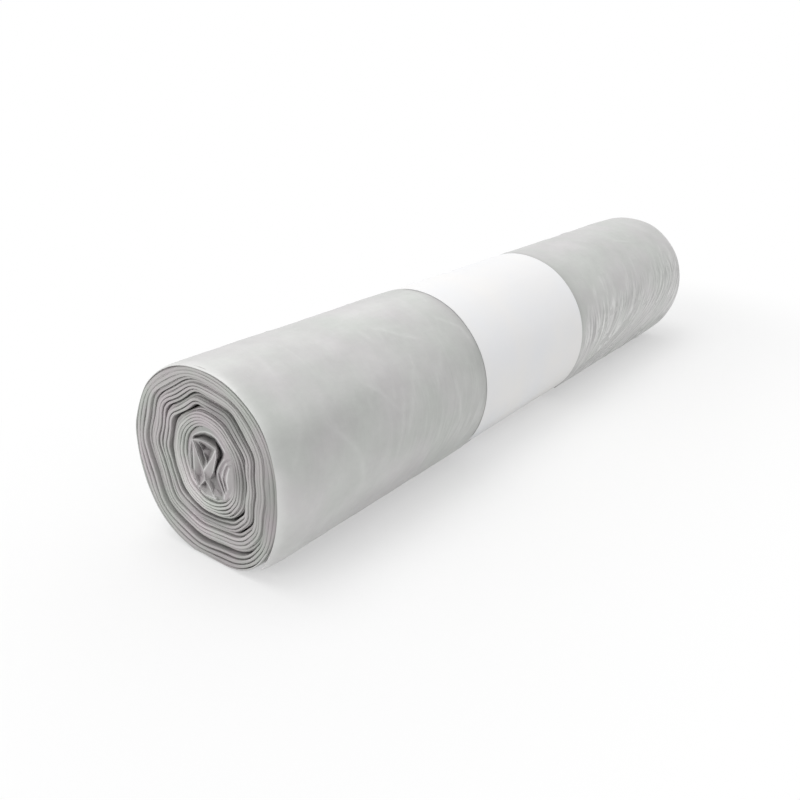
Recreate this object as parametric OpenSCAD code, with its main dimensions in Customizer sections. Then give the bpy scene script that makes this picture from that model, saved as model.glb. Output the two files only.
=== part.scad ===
// Roll of bin bags: a folded film web wound up on itself and held by a paper band.
// The roll lies along X on its flat spot at Z = 0, and the origin is under its middle.

/* [Web] */
// Width of the folded web, measured along the roll
web_w = 298; // [150:1:500]
// Thickness of one turn, which is a stack of film plies
web_t = 0.65; // [0.5:0.05:0.8]
// Air between one turn and the next
turn_gap = 0.4; // [0.35:0.05:0.6]
// Radius of the hollow in the middle of the roll
core_r = 10.4; // [8:0.2:14]
// Height of the hollow above the middle of the roll
core_up = 2; // [0:0.2:2.4]
// Sideways shift of the hollow
core_aside = 0.8; // [0:0.2:2]
// Depth to which the innermost bundle is pressed in on one side
core_press = 1.1; // [0:0.1:1.3]

/* [Winding] */
// Turns of the innermost bundle
core_turns = 6.3; // [5:0.1:8]
// Turns of the second bundle, wound with sharp corners
inner_turns = 3; // [2:0.1:4]
// Turns of the third bundle
middle_turns = 4.5; // [3:0.1:6]
// Turns of the outermost bundle, up to the free tail
outer_turns = 4.84; // [4:0.02:6]
// Extra air where the second bundle starts
inner_slack = 1.3; // [0.4:0.1:1.6]
// Extra air where the third bundle starts
middle_slack = 0.7; // [0.4:0.1:1.6]
// Extra air where the outermost bundle starts
outer_slack = 0.4; // [0.2:0.05:1]
// Width of the flat spot that the roll lies on
flat_w = 18; // [12:1:20]
// Height by which the free tail stands off the turn below it
tail_lift = 0.6; // [0.2:0.1:1]

/* [Ends] */
// Shift of the innermost bundle along the roll, away from the end that shows
core_drift = 0.6; // [0:0.1:3]
// Shift of the second bundle
inner_drift = 0.3; // [0:0.1:3]
// Shift of the third bundle
middle_drift = 0.7; // [0:0.1:3]
// Shift of the outermost bundle
outer_drift = 0; // [0:0.1:3]
// Depth at which the crumpled start of the web lies inside each end
crumple_inset = 4; // [1:0.5:12]
// Thickness of the crumpled start of the web
crumple_t = 0.7; // [0.4:0.05:1]

/* [Paper band] */
// Width of the band, measured along the roll
band_w = 77; // [30:1:120]
// Distance of the band's middle from the roll's middle, towards the end that shows
band_off = 10.2; // [-10:0.2:12]
// Thickness of the paper
paper_t = 0.15; // [0.1:0.01:0.2]
// Air between the paper and the film
seat_gap = 0.15; // [0.1:0.01:0.2]
// Length of the glued overlap of the paper
lap_l = 20; // [8:1:30]

/* [Hidden] */

// Angle between two points of a turn
step_angle = 6;
// Angle over which a bundle's slack opens
slack_angle = 70;
// Angle over which the free tail stands off
tail_angle = 24;
// Angle over which the paper comes down from the tail
bridge_angle = 12;
// Angle of the edge of the glued overlap, and the angle over which it thins out
lap_angle = 300;
thin_angle = 6;
// Side on which the innermost bundle is pressed in, and the angles over which that fades
press_angle = 134;
press_fade_angle = 40;
press_end_angle = 36;
// How oval the hollow is, and the turns over which it gets round
oval_share = 0.08;
oval_turns = 8;
// How fast the flat spot fades towards the middle
flat_power = 2;
// Room around the outline of a cut
cut_room = 5;

// Corners of the winding, as [angle, reach], with a reach of 1 on the round outline
corners = [
    [6, 0.94], [42, 1], [84, 1.06], [120, 1.08], [156, 1.03],
    [186, 0.94], [216, 1.02], [240, 0.97], [282, 0.93], [318, 0.97]
];

// Bundles from the middle outwards
bundle_turns = [core_turns, inner_turns, middle_turns, outer_turns];
bundle_slack = [0, inner_slack, middle_slack, outer_slack];
bundle_drift = [core_drift, inner_drift, middle_drift, outer_drift];
// How square the turns are, at the start and at the end of each bundle
bundle_square = [[0.3, 0.45], [0.95, 0.9], [0.85, 0.42], [0.36, 0.02]];

pitch = web_t + turn_gap;
bundle_start = [for (i = [0:4]) 360 * sum_to(bundle_turns, i)];
web_end = bundle_start[4];
last_turn = web_end - 360;
outer_r = core_r + pitch * web_end / 360 + sum_to(bundle_slack, 4);
flat_sag = outer_r - sqrt(outer_r * outer_r - flat_w * flat_w / 4);
skin = web_t / 2;
waist = paper_t + seat_gap;
lap_span = lap_l / outer_r * 180 / PI;

function sum_to(values, n) = n <= 0 ? 0 : values[n - 1] + sum_to(values, n - 1);
function clamp(x) = min(max(x, 0), 1);
function ease(x) = clamp(x) * clamp(x) * (3 - 2 * clamp(x));
function polar(r, a) = [r * cos(a), r * sin(a)];

// Place in the section, with the inner turns shifted along with the hollow
function place(r, a) = polar(r, a) + [-core_aside, core_up] * clamp(1 - a / last_turn);

// Radius of the even spiral at an angle counted from the start of the web
function even_r(a) =
    core_r + pitch * a / 360
    + sum_to([for (i = [0:3]) bundle_slack[i] * ease((a - bundle_start[i]) / slack_angle)], 4);

// How square the web is at that angle
function square_in(i, a) =
    let (along = clamp((a - bundle_start[i]) / (bundle_start[i + 1] - bundle_start[i])))
    bundle_square[i][0] + (bundle_square[i][1] - bundle_square[i][0]) * along;
function square_at(a, i = 3) =
    i == 0 ? square_in(0, a)
    : let (before = square_at(a, i - 1))
      before + (square_in(i, a) - before) * ease((a - bundle_start[i]) / slack_angle);

// Reach of the straight line between two corners, as a share of the round outline
function between(c, d, turn) =
    c[1] * d[1] * sin(d[0] - c[0]) / (c[1] * sin(turn - c[0]) + d[1] * sin(d[0] - turn));
function corner_reach(turn) =
    let (
        n = len(corners),
        seen = turn < corners[0][0] ? turn + 360 : turn,
        k = max([for (i = [0:n - 1]) if (corners[i][0] <= seen) i]),
        next = k == n - 1 ? [corners[0][0] + 360, corners[0][1]] : corners[k + 1]
    )
    between(corners[k], next, seen);

// Depth to which a turn is pressed in, growing through the innermost bundle
function pressed(a) =
    core_press * ease(1 - abs(a % 360 - press_angle) / press_fade_angle)
    * clamp(a / bundle_start[1]) * ease((bundle_start[1] - a) / press_end_angle);

// Radius with the corners and the oval hollow, before the flat spot
function bent_r(r, a) =
    let (
        turn = a % 360,
        oval = oval_share * max(0, 1 - a / 360 / oval_turns)
    )
    r * (1 - square_at(a) * (1 - corner_reach(turn))) * (1 - oval * cos(2 * turn)) - pressed(a);

// Radius of the web at an angle, out from its middle by a distance
function web_r(a, out) =
    let (
        r = bent_r(even_r(a) + out, a),
        off = a % 360 - 270,
        under = a - off,
        under_r = even_r(under) + out,
        floor_r = bent_r(under_r, under) - flat_sag * pow(under_r / outer_r, flat_power)
    )
    abs(off) < 60 ? min(r, floor_r / cos(off)) : r;

// Angles from one to another, with every step between them
function angles(from, to) =
    let (
        first = floor(from / step_angle) + 1,
        last = ceil(to / step_angle) - 1
    )
    concat([from], [for (k = [first:last]) k * step_angle], [to]);

// Stretch of the web between two angles
function lift(a) = tail_lift * ease(1 - (web_end - a) / tail_angle);
function strip(from, to) =
    let (list = angles(from, to))
    concat(
        [for (a = list) place(web_r(a, skin) + lift(a), a)],
        [for (i = [len(list) - 1:-1:0]) place(web_r(list[i], -skin) + lift(list[i]), list[i])]
    );

// Round of the film's outside, bridged where the tail ends, out by a distance
function skin_r(a, out) =
    let (
        past = (a - last_turn) / bridge_angle,
        tail_r = web_r(web_end, skin + out),
        below_r = web_r(last_turn + bridge_angle, skin + out)
    )
    past < 1 ? tail_r + (below_r - tail_r) * past : web_r(a, skin + out);
function skin_round(out) =
    [for (a = angles(last_turn, web_end)) if (a < web_end) polar(skin_r(a, out), a)];

// Extra height of the paper where its ends lie on each other
function lap(a) =
    let (past = (a - lap_angle + 720) % 360)
    past <= lap_span ? paper_t : paper_t * clamp(1 - (past - lap_span) / thin_angle);

// Folds of the crumpled start, from wall to wall of the hollow by way of its two hubs
function wall(a) = place(web_r(a, 0), a);
function inside(across, up) = place(0, 0) + [across, up] * core_r;
hub = inside(0.03, -0.05);
low_hub = inside(0.11, -0.42);
crumple_folds = [
    [wall(58), hub, low_hub, wall(252)],
    [wall(126), hub],
    [low_hub, wall(300)],
    [wall(62), inside(-0.1, 0.76), wall(132)],
    [inside(-0.38, 0.5), inside(-0.27, -0.15), inside(-0.34, -0.4)],
    [wall(36), inside(0.42, 0.1), inside(0.55, -0.4), wall(318)],
    [wall(168), inside(-0.6, -0.1), wall(216)]
];

// The section is centred across the roll and set down on its flat spot
outline = skin_round(0);
shift_y = -(max([for (p = outline) p[0]]) + min([for (p = outline) p[0]])) / 2;
shift_z = -min([for (p = outline) p[1]]);
near_end = -(web_w + max(bundle_drift)) / 2;
band_start = -band_off - band_w / 2 - near_end;

// Sets a section up across the roll, from a place along it
module along(from, length) {
    translate([near_end + from, shift_y, shift_z])
        rotate([90, 0, 90])
            linear_extrude(length)
                children();
}

// Straight ply between two points of the section
module ply(p, q, t) {
    run = q - p;
    side = [-run[1], run[0]] / norm(run) * t / 2;
    polygon([p - side, q - side, q + side, p + side]);
}

// Start of the web, crumpled in the hollow and joined to the innermost turn
module crumple() {
    for (fold = crumple_folds, i = [0:len(fold) - 2])
        ply(fold[i], fold[i + 1], crumple_t);
}

module bag_roll() {
    color("#cfd0cb")
    difference() {
        union() {
            for (i = [0:3])
                along(bundle_drift[i], web_w)
                    polygon(strip(bundle_start[i], bundle_start[i + 1]));
            along(core_drift + crumple_inset, web_w - 2 * crumple_inset)
                crumple();
        }
        // Waist that the band sits in
        along(band_start, band_w)
            difference() {
                circle(r = outer_r + cut_room);
                polygon(skin_round(-waist));
            }
    }
}

module paper_band() {
    color("#f4f4f2")
    along(band_start, band_w)
        difference() {
            polygon([
                for (a = angles(last_turn, web_end)) if (a < web_end)
                    polar(skin_r(a, 0) + lap(a), a)
            ]);
            polygon(skin_round(-paper_t));
        }
}

bag_roll();
paper_band();
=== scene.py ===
"""Roll of bin bags with its paper band, dressed for a studio photograph."""
import math

import bmesh
import bpy
import numpy as np
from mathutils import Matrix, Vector, geometry


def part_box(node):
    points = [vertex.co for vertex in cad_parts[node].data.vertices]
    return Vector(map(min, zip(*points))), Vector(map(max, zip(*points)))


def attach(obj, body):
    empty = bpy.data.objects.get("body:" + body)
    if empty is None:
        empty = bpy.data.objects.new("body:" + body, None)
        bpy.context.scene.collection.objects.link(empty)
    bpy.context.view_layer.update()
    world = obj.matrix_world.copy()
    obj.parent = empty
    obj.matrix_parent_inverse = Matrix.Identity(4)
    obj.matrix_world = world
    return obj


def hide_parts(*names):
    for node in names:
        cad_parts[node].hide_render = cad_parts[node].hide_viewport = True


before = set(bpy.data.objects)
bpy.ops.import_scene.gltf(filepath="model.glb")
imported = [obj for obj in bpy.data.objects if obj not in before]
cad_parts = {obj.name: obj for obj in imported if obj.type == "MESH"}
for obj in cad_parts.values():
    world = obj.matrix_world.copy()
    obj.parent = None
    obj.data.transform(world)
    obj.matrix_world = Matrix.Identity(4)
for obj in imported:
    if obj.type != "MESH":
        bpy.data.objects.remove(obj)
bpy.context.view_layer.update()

MM = 0.001

# Winding of the web, in millimetres and degrees, as the part is built
WEB_T = 0.65
TURN_GAP = 0.4
CORE_R = 10.4
CORE_ASIDE = 0.8
CORE_UP = 2
CORE_PRESS = 1.1
PRESS_ANGLE, PRESS_FADE, PRESS_END = 134, 40, 36
BUNDLE_TURNS = [6.3, 3, 4.5, 4.84]
BUNDLE_SLACK = [0, 1.3, 0.7, 0.4]
BUNDLE_DRIFT = [0.6, 0.3, 0.7, 0]
BUNDLE_SQUARE = [[0.3, 0.45], [0.95, 0.9], [0.85, 0.42], [0.36, 0.02]]
CORNERS = [
    (6, 0.94), (42, 1), (84, 1.06), (120, 1.08), (156, 1.03),
    (186, 0.94), (216, 1.02), (240, 0.97), (282, 0.93), (318, 0.97),
]
SLACK_RAMP = 70
CORE_OVAL = 0.08
OVAL_TURNS = 8
FLAT_W = 18
FLAT_FADE = 2
FLAT_HALF = 60
TAIL_LIFT = 0.6
TAIL_RAMP = 24
TAIL_EASE = 12

# Paper band
PAPER_T = 0.15
LAP_ANGLE = 300
LAP_L = 20

PITCH = WEB_T + TURN_GAP
STARTS = [360 * sum(BUNDLE_TURNS[:i]) for i in range(len(BUNDLE_TURNS) + 1)]
WEB_END = STARTS[-1]
LAST_TURN = WEB_END - 360
OUTER_R = CORE_R + PITCH * WEB_END / 360 + sum(BUNDLE_SLACK)
FLAT_SAG = OUTER_R - math.sqrt(OUTER_R**2 - FLAT_W**2 / 4)
SKIN = WEB_T / 2


def clamp(x):
    return min(max(x, 0.0), 1.0)


def ease(x):
    x = clamp(x)
    return x * x * (3 - 2 * x)


def bump_at(x, middle, half_width):
    """1 at the middle, fading smoothly to 0 at the half width and beyond."""
    return ease(1 - abs(x - middle) / half_width)


def even_r(angle):
    """Radius of the even spiral at an angle along the web."""
    slack = sum(g * ease((angle - s) / SLACK_RAMP) for g, s in zip(BUNDLE_SLACK, STARTS))
    return CORE_R + PITCH * angle / 360 + slack


def square_at(angle):
    """How square the web is at an angle along it."""
    square = None
    for i, (first, last) in enumerate(BUNDLE_SQUARE):
        along = clamp((angle - STARTS[i]) / (STARTS[i + 1] - STARTS[i]))
        here = first + (last - first) * along
        share = ease((angle - STARTS[i]) / SLACK_RAMP)
        square = here if square is None else square + (here - square) * share
    return square


def corner_reach(turn):
    """Reach of the straight line between two corners, as a share of the round outline."""
    ring = CORNERS + [(CORNERS[0][0] + 360, CORNERS[0][1])]
    seen = turn + 360 if turn < ring[0][0] else turn
    for (a1, q1), (a2, q2) in zip(ring, ring[1:]):
        if a1 <= seen <= a2:
            left, right = math.radians(seen - a1), math.radians(a2 - seen)
            return q1 * q2 * math.sin(left + right) / (q1 * math.sin(left) + q2 * math.sin(right))
    raise ValueError(turn)


def pressed(angle):
    """Depth to which a turn of the innermost bundle is pressed in on one side."""
    side = bump_at(angle % 360, PRESS_ANGLE, PRESS_FADE)
    return CORE_PRESS * side * clamp(angle / STARTS[1]) * ease((STARTS[1] - angle) / PRESS_END)


def bent_r(radius, angle):
    """Radius with the corners and the oval hollow, before the flat spot."""
    turn = angle % 360
    oval = CORE_OVAL * max(0, 1 - angle / 360 / OVAL_TURNS)
    bent = radius * (1 - square_at(angle) * (1 - corner_reach(turn)))
    return bent * (1 - oval * math.cos(math.radians(2 * turn))) - pressed(angle)


def web_r(angle, out=0.0):
    """Radius of the web at an angle along it, out from its middle by a distance."""
    radius = bent_r(even_r(angle) + out, angle)
    off = angle % 360 - 270
    if abs(off) < FLAT_HALF:
        under = angle - off
        under_r = even_r(under) + out
        floor_r = bent_r(under_r, under) - FLAT_SAG * (under_r / OUTER_R) ** FLAT_FADE
        radius = min(radius, floor_r / math.cos(math.radians(off)))
    return radius


def polar(radius, angle):
    return radius * math.cos(math.radians(angle)), radius * math.sin(math.radians(angle))


def place(radius, angle):
    """Place in the section, with the inner turns shifted along with the hollow."""
    y, z = polar(radius, angle)
    inward = clamp(1 - angle / LAST_TURN)
    return y - CORE_ASIDE * inward, z + CORE_UP * inward


def skin_r(angle, out=0.0):
    """Radius of the roll's outside at an angle of its last turn, bridged at the tail."""
    past = (angle - LAST_TURN) / TAIL_EASE
    if past < 1:
        tail, below = web_r(WEB_END, SKIN + out), web_r(LAST_TURN + TAIL_EASE, SKIN + out)
        return tail + (below - tail) * past
    return web_r(angle, SKIN + out)


# Place of the section and of the pieces along the roll, in millimetres
outline = [polar(skin_r(LAST_TURN + a), LAST_TURN + a) for a in range(0, 360, 2)]
SHIFT_Y = -(max(p[0] for p in outline) + min(p[0] for p in outline)) / 2
SHIFT_Z = -min(p[1] for p in outline)
roll_low, roll_high = (Vector(c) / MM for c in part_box("bag_roll"))
band_low, band_high = (Vector(c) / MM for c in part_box("paper_band"))
MID_X = (roll_low.x + roll_high.x) / 2
WEB_W = roll_high.x - roll_low.x - max(BUNDLE_DRIFT)


# Nodes, whose inputs are numbers or the outputs of other nodes


class Value:
    """Output of a node, which can be reckoned with like a number."""

    def __init__(self, tree, socket):
        self.tree, self.socket = tree, socket

    def calc(self, operation, *others):
        values = dict(enumerate((self, *others)))
        return put(self.tree, "ShaderNodeMath", values, operation=operation)[0]

    def __add__(self, other):
        return self.calc("ADD", other)

    def __sub__(self, other):
        return self.calc("SUBTRACT", other)

    def __rsub__(self, number):
        return put(self.tree, "ShaderNodeMath", {0: number, 1: self}, operation="SUBTRACT")[0]

    def __mul__(self, other):
        return self.calc("MULTIPLY", other)

    def __truediv__(self, other):
        return self.calc("DIVIDE", other)

    def __pow__(self, number):
        return self.calc("POWER", number)

    def __abs__(self):
        return self.calc("ABSOLUTE")

    __radd__, __rmul__ = __add__, __mul__


class Outputs:
    """Outputs of a node, by number or name."""

    def __init__(self, tree, node):
        self.tree, self.node = tree, node

    def __getitem__(self, key):
        return Value(self.tree, self.node.outputs[key])


def feed(tree, node, ins):
    """Gives some inputs of a node, as numbers or as outputs of other nodes."""
    for key, value in ins.items():
        if isinstance(value, Value):
            tree.links.new(value.socket, node.inputs[key])
        else:
            node.inputs[key].default_value = value


def put(tree, kind, ins=None, **settings):
    """New node in a tree, set up and fed."""
    node = tree.nodes.new(kind)
    for name, value in settings.items():
        setattr(node, name, value)
    feed(tree, node, ins or {})
    return Outputs(tree, node)


def named_inputs(tree, sockets):
    """Inputs of a node group, as (name, kind, value to start from)."""
    for name, kind, default in sockets:
        made = tree.interface.new_socket(name, in_out="INPUT", socket_type=kind)
        if default is not None:
            made.default_value = default


def parts(vector):
    """The three coordinates of a vector."""
    return put(vector.tree, "ShaderNodeSeparateXYZ", {0: vector})


def joined(tree, *values):
    """Vector of up to three coordinates."""
    return put(tree, "ShaderNodeCombineXYZ", dict(enumerate(values)))[0]


def noise(vector, scale, detail=2.0, roughness=0.5):
    return put(vector.tree, "ShaderNodeTexNoise", {
        "Vector": vector, "Scale": scale, "Detail": detail, "Roughness": roughness})[0]


def spread(value, low, high, to_low=0.0, to_high=1.0, **settings):
    """Value between two limits, laid out between two others."""
    return put(value.tree, "ShaderNodeMapRange", {
        "Value": value, "From Min": low, "From Max": high, "To Min": to_low, "To Max": to_high},
        **settings)[0]


def mixed(share, first, second):
    return put(share.tree, "ShaderNodeMix", {0: share, 6: first, 7: second},
               data_type="RGBA")[2]


def scaled(color, level):
    return put(color.tree, "ShaderNodeVectorMath", {0: color, "Scale": level},
               operation="SCALE")[0]


def grouped(tree, group, values):
    return put(tree, "ShaderNodeGroup", values, node_tree=group)[0]


def attribute(tree, name):
    """Number that the points of a piece carry."""
    return put(tree, "ShaderNodeAttribute", attribute_name=name)["Fac"]


def own_place(tree):
    """Place in metres from the piece's own origin."""
    return put(tree, "ShaderNodeTexCoord")["Object"]


def new_piece(name, mesh, material):
    """Object for a mesh, riding the root, with a material unless the mesh has its own."""
    piece = bpy.data.objects.new(name, mesh)
    bpy.context.collection.objects.link(piece)
    if material:
        mesh.materials.clear()
        mesh.materials.append(material)
    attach(piece, "root")
    return piece


# Shader groups shared by the finishes, and the finishes


def shader_group(name, sockets, outputs):
    """Group with named inputs and outputs, and its inputs as values."""
    tree = bpy.data.node_groups.new(name, "ShaderNodeTree")
    named_inputs(tree, sockets)
    for output, kind in outputs.items():
        tree.interface.new_socket(output, in_out="OUTPUT", socket_type=kind)
    return tree, put(tree, "NodeGroupInput")


def clouds_group():
    """Two tints that drift into each other, with lighter and darker patches."""
    tree, given = shader_group("cloudy tint", [
        ("Cool", "NodeSocketColor", (0.6, 0.6, 0.6, 1)),
        ("Warm", "NodeSocketColor", (0.6, 0.6, 0.6, 1)),
        ("Scale", "NodeSocketFloat", 60.0),
        ("Patches", "NodeSocketFloat", 0.1),
    ], {"Color": "NodeSocketColor"})
    spot = own_place(tree)
    drift = spread(noise(spot, given["Scale"], 3.0), 0.35, 0.65)
    tint = mixed(drift, given["Cool"], given["Warm"])
    patch = noise(spot, given["Scale"] * 0.37, 4.0, 0.55)
    level = 1.0 + (patch - 0.5) * (given["Patches"] * 2.0)
    put(tree, "NodeGroupOutput", {"Color": scaled(tint, level)})
    return tree


def grain_group():
    """Fine relief in two sizes, stretched along the piece's own grain."""
    tree, given = shader_group("fine relief", [
        ("Scale", "NodeSocketFloat", 900.0),
        ("Stretch", "NodeSocketVector", (1, 1, 1)),
        ("Depth", "NodeSocketFloat", 0.0001),
        ("Strength", "NodeSocketFloat", 0.3),
    ], {"Normal": "NodeSocketVector"})
    laid = put(tree, "ShaderNodeVectorMath", {0: own_place(tree), 1: given["Stretch"]},
               operation="MULTIPLY")[0]
    fine, broad = noise(laid, given["Scale"], 3.0), noise(laid, given["Scale"] * 0.21)
    bump = put(tree, "ShaderNodeBump", {
        "Height": fine + broad * 1.6, "Distance": given["Depth"],
        "Strength": given["Strength"]})[0]
    put(tree, "NodeGroupOutput", {"Normal": bump})
    return tree


def streaks_group():
    """Fine straight folds along the contours of a field: their light, shade and height."""
    tree, given = shader_group("film streaks", [
        ("Folds", "NodeSocketVector", (0, 0, 0)),
        ("Across", "NodeSocketFloat", 550.0),
        ("Along", "NodeSocketFloat", 45.0),
    ], {"Light": "NodeSocketFloat", "Shade": "NodeSocketFloat", "Height": "NodeSocketFloat"})
    contour, way, many = parts(given["Folds"])
    fine = noise(joined(tree, contour * given["Across"], way * given["Along"]), 1.0, 3.0, 0.55)
    light = many * (1.0 - abs(fine - 0.55) * 14.0).calc("MAXIMUM", 0.0)
    shade = many * (1.0 - abs(fine - 0.42) * 12.0).calc("MAXIMUM", 0.0)
    put(tree, "NodeGroupOutput", {"Light": light, "Shade": shade, "Height": many * fine})
    return tree


def painted_depth_shade_group():
    """Painted shade: share of the colour kept for film so far inside the ends, from 1 to the
    least.
    """
    tree, given = shader_group("painted shade inside the ends", [
        ("Half Length", "NodeSocketFloat", 0.15),
        ("From", "NodeSocketFloat", 0.001),
        ("To", "NodeSocketFloat", 0.004),
        ("Least", "NodeSocketFloat", 0.5),
    ], {"Share": "NodeSocketFloat"})
    inside = given["Half Length"] - abs(parts(own_place(tree))[0])
    share = spread(inside, given["From"], given["To"], 1.0, given["Least"],
                   interpolation_type="SMOOTHSTEP")
    put(tree, "NodeGroupOutput", {"Share": share})
    return tree


clouds, grain, streaks, deep = clouds_group(), grain_group(), streaks_group(), painted_depth_shade_group()


def plain_material(name, clouding):
    """Material with a cloudy tint, and its tree and main shader."""
    material = bpy.data.materials.new(name)
    material.use_nodes = True
    tree = material.node_tree
    shader = tree.nodes["Principled BSDF"]
    tint = grouped(tree, clouds, clouding)
    feed(tree, shader, {"Base Color": tint})
    return material, tree, shader, tint


def new_material(name, clouding, relief):
    """Material with a cloudy tint and a fine relief, and its tree and main shader."""
    material, tree, shader, tint = plain_material(name, clouding)
    feed(tree, shader, {"Normal": grouped(tree, grain, relief)})
    return material, tree, shader, tint


def film_material():
    """Satin grey film, with a painted highlight on its creases and rim, and painted light and
    shade in bands and along its fine folds.
    """
    material, tree, shader, tint = new_material(
        "grey film",
        {"Cool": (0.515, 0.53, 0.508, 1), "Warm": (0.54, 0.53, 0.53, 1), "Scale": 45.0,
         "Patches": 0.13},
        {"Scale": 420.0, "Stretch": (0.5, 1, 1), "Depth": 0.0005, "Strength": 0.35})
    folds = put(tree, "ShaderNodeAttribute", attribute_name="folds")["Vector"]
    streak = put(tree, "ShaderNodeGroup", {"Folds": folds}, node_tree=streaks)
    # Painted highlight on the creases, the rim and the fine folds' crests
    marked = attribute(tree, "painted_highlight") * 0.6 + streak["Light"] * 0.8
    whiter = mixed(marked, tint, (0.8, 0.8, 0.79, 1))
    mottled = spread(noise(own_place(tree), 120.0, 4.0, 0.6), 0.3, 0.7, 0.955, 1.045)
    # Painted light and shade in bands round the roll, and painted shade in the fine folds'
    # hollows
    level = mottled * attribute(tree, "painted_shading") * (1.0 - streak["Shade"] * 0.3)
    relief = Value(tree, shader.inputs["Normal"].links[0].from_socket)
    bump = put(tree, "ShaderNodeBump", {
        "Height": streak["Height"], "Normal": relief, "Distance": 0.0015, "Strength": 0.6})[0]
    feed(tree, shader, {
        "Base Color": scaled(whiter, level), "Normal": bump, "Roughness": 0.4, "IOR": 1.5})
    return material


def inner_material(name, clouding):
    """Film inside the ends of the roll."""
    material, tree, shader, tint = new_material(
        name, clouding,
        {"Scale": 700.0, "Stretch": (1, 1, 1), "Depth": 0.0002, "Strength": 0.2})
    feed(tree, shader, {"Roughness": 0.5})
    return material, tree, shader, tint


def crumple_material():
    """Crumpled film in the hollow, in tints darker than the film outside and darker still
    inwards, both painted shade of the hollow, with a painted highlight on its ridges.
    """
    material, tree, shader, tint = inner_material(
        "crumpled film",
        {"Cool": (0.355, 0.366, 0.347, 1), "Warm": (0.383, 0.354, 0.364, 1), "Scale": 120.0,
         "Patches": 0.1})
    # Painted shade: colour darker deeper inside the ends
    share = grouped(tree, deep, {"Half Length": (roll_high.x - MID_X) * MM, "From": 0.002,
                                 "To": 0.0055, "Least": 0.62})
    # Painted highlight along the ridges
    whiter = mixed(attribute(tree, "painted_highlight") * 0.6, tint, (0.78, 0.78, 0.77, 1))
    feed(tree, shader, {"Base Color": scaled(whiter, share)})
    return material


def ply_material():
    """Edges of the wound plies, each a little lighter or darker, with painted shade between them
    and painted light and shade by place round the end.
    """
    material, tree, shader, tint = inner_material(
        "film plies",
        {"Cool": (0.415, 0.43, 0.402, 1), "Warm": (0.455, 0.42, 0.43, 1), "Scale": 75.0,
         "Patches": 0.12})
    inside = attribute(tree, "inside")
    # Painted shade between the plies, deeper from their edges and lighter where they lie pressed
    # together
    share = spread(inside, 0.0001, 0.001, 1.0, 0.6) * spread(inside, 0.001, 0.003, 1.0, 0.6)
    share = 1.0 - (1.0 - share) * (1.0 - attribute(tree, "pressed") * 0.7)
    line = joined(tree, attribute(tree, "wound") * 2.1)
    # Painted light and shade by place round the end, on top of each ply's own lightness
    level = spread(noise(line, 1.0, 3.0), 0.3, 0.7, 0.86, 1.16) * attribute(tree, "painted_shading")
    feed(tree, shader, {"Base Color": scaled(tint, level * share)})
    return material


def paper_material():
    """Plain white paper with a fine, dull grain."""
    material, tree, shader, _ = new_material(
        "white paper",
        {"Cool": (0.83, 0.835, 0.85, 1), "Warm": (0.86, 0.85, 0.84, 1), "Scale": 30.0,
         "Patches": 0.03},
        {"Scale": 2600.0, "Stretch": (1, 1, 1), "Depth": 0.00005, "Strength": 0.35})
    feed(tree, shader, {"Roughness": 0.82, "Specular IOR Level": 0.3})
    return material


film, plies, crumpled, paper = (
    film_material(), ply_material(), crumple_material(), paper_material())

# Soft relief, worked out on grids of points


def soft_noise(u, v, seed):
    """Smooth noise from -1 to 1 over two coordinates, one cell to a unit."""
    table = np.random.RandomState(seed).uniform(-1, 1, (64, 64))
    u, v = np.broadcast_arrays(np.asarray(u, float), np.asarray(v, float))
    iu, iv = np.floor(u).astype(int), np.floor(v).astype(int)
    fu, fv = u - iu, v - iv
    fu, fv = fu * fu * (3 - 2 * fu), fv * fv * (3 - 2 * fv)
    corner = [[table[(iu + i) % 64, (iv + j) % 64] for j in (0, 1)] for i in (0, 1)]
    low = corner[0][0] * (1 - fv) + corner[0][1] * fv
    high = corner[1][0] * (1 - fv) + corner[1][1] * fv
    return low * (1 - fu) + high * fu


def soft_step(x, low, high):
    """Smooth rise from 0 to 1 between two limits."""
    t = np.clip((x - low) / (high - low), 0, 1)
    return t * t * (3 - 2 * t)


def from_line(u, v, line):
    """Distance of points from a line of several stretches, and how far along it they are."""
    best, share = np.full(np.shape(u), 1e9), np.zeros(np.shape(u))
    lengths = [math.dist(p, q) for p, q in zip(line, line[1:])]
    run = 0.0
    for (u1, v1), (u2, v2), length in zip(line, line[1:], lengths):
        t = np.clip(((u - u1) * (u2 - u1) + (v - v1) * (v2 - v1)) / length**2, 0, 1)
        away = np.hypot(u - u1 - t * (u2 - u1), v - v1 - t * (v2 - v1))
        share = np.where(away < best, (run + t * length) / sum(lengths), share)
        best = np.minimum(best, away)
        run += length
    return best, share


def slab_mesh(name, loops, marks=None):
    """Closed solid through loops of points in millimetres, with an optional mark on each."""
    mesh = bpy.data.meshes.new(name)
    count, size = loops.shape[:2]
    starts = (np.arange(count - 1) * size)[:, None]
    here, beside = np.arange(size)[None, :], (np.arange(size)[None, :] + 1) % size
    sides = np.stack([starts + here, starts + beside, starts + size + beside,
                      starts + size + here], axis=-1).reshape(-1, 4)
    caps = [list(range(size))[::-1], list(range((count - 1) * size, count * size))]
    mesh.from_pydata((loops.reshape(-1, 3) * MM).tolist(), [], sides.tolist() + caps)
    for key, values in (marks or {}).items():
        kind, field = ("FLOAT_VECTOR", "vector") if values.ndim == 3 else ("FLOAT", "value")
        mesh.attributes.new(key, kind, "POINT").data.foreach_set(field, values.reshape(-1))
    mesh.shade_smooth()
    return mesh


def around(x, radius, angles):
    """Points in millimetres from places along the roll, radii and angles in degrees."""
    turn = np.radians(angles)
    return np.stack(np.broadcast_arrays(
        x, radius * np.cos(turn) + SHIFT_Y, radius * np.sin(turn) + SHIFT_Z), axis=-1)


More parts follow.
